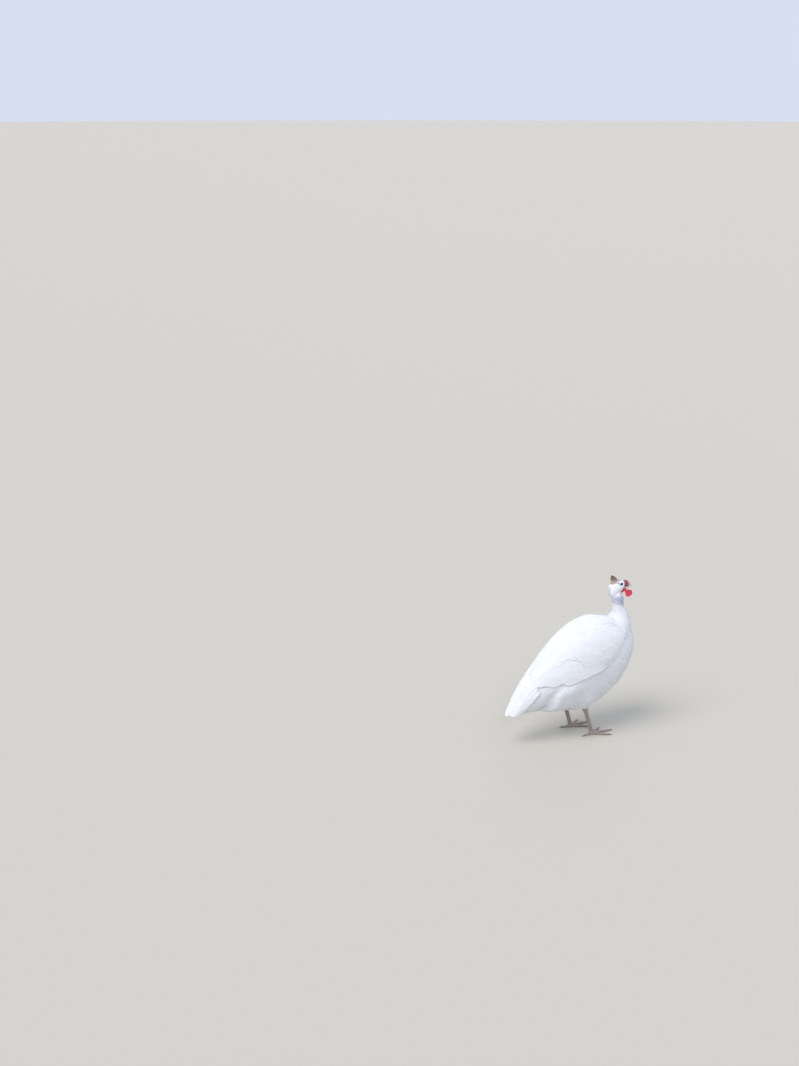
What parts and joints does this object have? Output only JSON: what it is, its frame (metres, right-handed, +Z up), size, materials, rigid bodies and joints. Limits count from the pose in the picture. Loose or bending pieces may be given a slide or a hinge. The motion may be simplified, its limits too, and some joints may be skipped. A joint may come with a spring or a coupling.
{
  "type": "guinea fowl",
  "caption": "White domestic guinea fowl standing alert, neck up and tail low: bony casque on the crown, bare face, red wattles, folded rounded wings.",
  "frame": {"origin": "on the floor under the middle of the bounding box", "axes": "+X is where the bird heads, +Y its left side, +Z up"},
  "size_m": [0.3828, 0.1674, 0.4132],
  "materials": {
    "plumage": "soft white feathers, matt",
    "face_skin": "bare white skin, finely folded",
    "casque": "brown horny knob, satin",
    "cere": "dark red bare skin",
    "bill": "pinkish horn, satin",
    "wattle": "bright red bare skin",
    "eye": "dark, wet and glossy",
    "leg_skin": "grey-brown horny scales",
    "claw": "dark horn"
  },
  "bodies": {
    "root": {"bill_lower": "bill", "bill_upper": "bill", "casque": "casque", "cere": "cere", "claw_left_hind": "claw", "claw_left_inner": "claw", "claw_left_middle": "claw", "claw_left_outer": "claw", "claw_right_hind": "claw", "claw_right_inner": "claw", "claw_right_middle": "claw", "claw_right_outer": "claw", "eye_left": "eye", "eye_right": "eye", "head": "face_skin", "neck": "plumage", "shank_left": "leg_skin", "shank_right": "leg_skin", "tail": "plumage", "thigh_left": "plumage", "thigh_right": "plumage", "toe_left_hind": "leg_skin", "toe_left_inner": "leg_skin", "toe_left_middle": "leg_skin", "toe_left_outer": "leg_skin", "toe_right_hind": "leg_skin", "toe_right_inner": "leg_skin", "toe_right_middle": "leg_skin", "toe_right_outer": "leg_skin", "torso": "plumage", "wattle_left": "wattle", "wattle_right": "wattle", "wing_left": "plumage", "wing_right": "plumage"}
  },
  "joints": []
}
